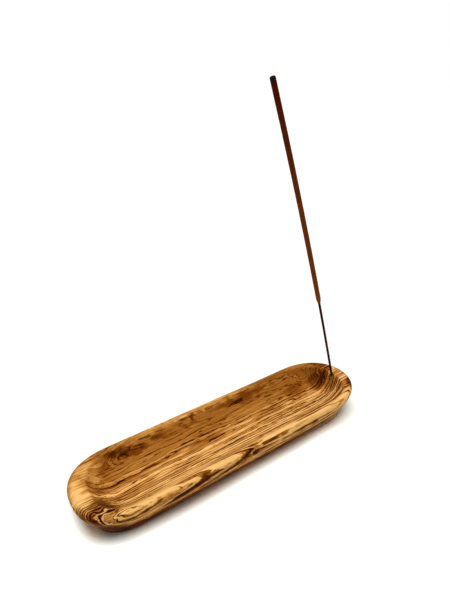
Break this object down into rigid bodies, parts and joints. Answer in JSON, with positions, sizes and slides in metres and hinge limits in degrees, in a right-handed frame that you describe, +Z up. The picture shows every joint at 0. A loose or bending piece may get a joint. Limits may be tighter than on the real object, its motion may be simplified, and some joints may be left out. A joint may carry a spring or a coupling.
{
  "type": "incense bowl",
  "caption": "Long hollowed olive-wood dish with a leaning hole at one end that holds an incense stick over the hollow and catches its ash.",
  "frame": {"origin": "centre of the dish's flat base, on the surface that it stands on", "axes": "+X along the dish towards the stick hole, +Z up, +Y across the dish"},
  "size_m": [0.21, 0.0534, 0.2238],
  "materials": {
    "olive_wood": "sanded and oiled, satin",
    "dyed_bamboo": "dyed dark red, matt",
    "incense_paste": "rolled paste, matt and powdery"
  },
  "bodies": {
    "dish": {"dish": "olive_wood"},
    "stick": {"bamboo_splint": "dyed_bamboo", "incense_coating": "incense_paste"}
  },
  "joints": [
    {"name": "stick_lift", "type": "slide", "parent": "dish", "child": "stick", "axis": [-0.3007, 0, 0.9537], "range_m": [0, 0.03]}
  ]
}
